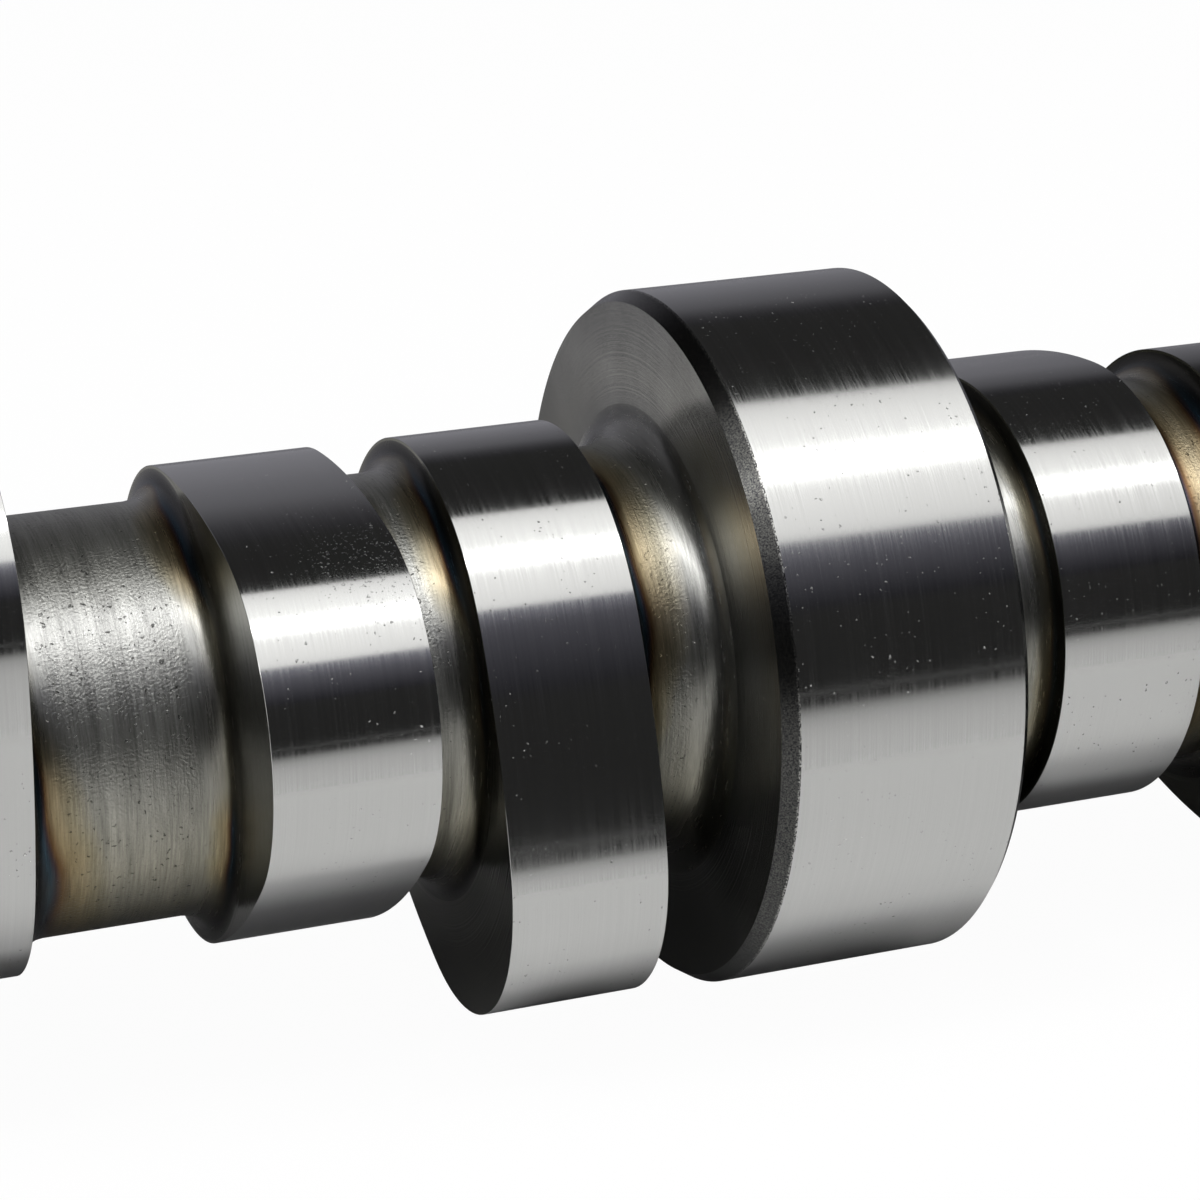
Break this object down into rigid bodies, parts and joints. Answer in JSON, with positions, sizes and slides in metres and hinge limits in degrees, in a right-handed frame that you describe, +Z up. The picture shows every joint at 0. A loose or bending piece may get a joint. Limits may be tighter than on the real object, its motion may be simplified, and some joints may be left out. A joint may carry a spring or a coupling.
{
  "type": "camshaft",
  "caption": "Straight one-piece engine camshaft: ground bearing journals with pear-shaped lobes between them, which open the valves as a sprocket turns it.",
  "frame": {"origin": "centre of the sprocket face at the front end, on the shaft's axis", "axes": "+X along the shaft, out of its front end; +Z up as it lies; the rear end is at -X"},
  "size_m": [0.4883, 0.055, 0.055],
  "materials": {
    "camshaft_steel": "ground bright on journals and lobes, turned between them, with heat tint beside the lobes",
    "dowel_steel": "ground bright"
  },
  "bodies": {
    "root": {"camshaft": "camshaft_steel", "dowel_pin": "dowel_steel"}
  },
  "joints": []
}
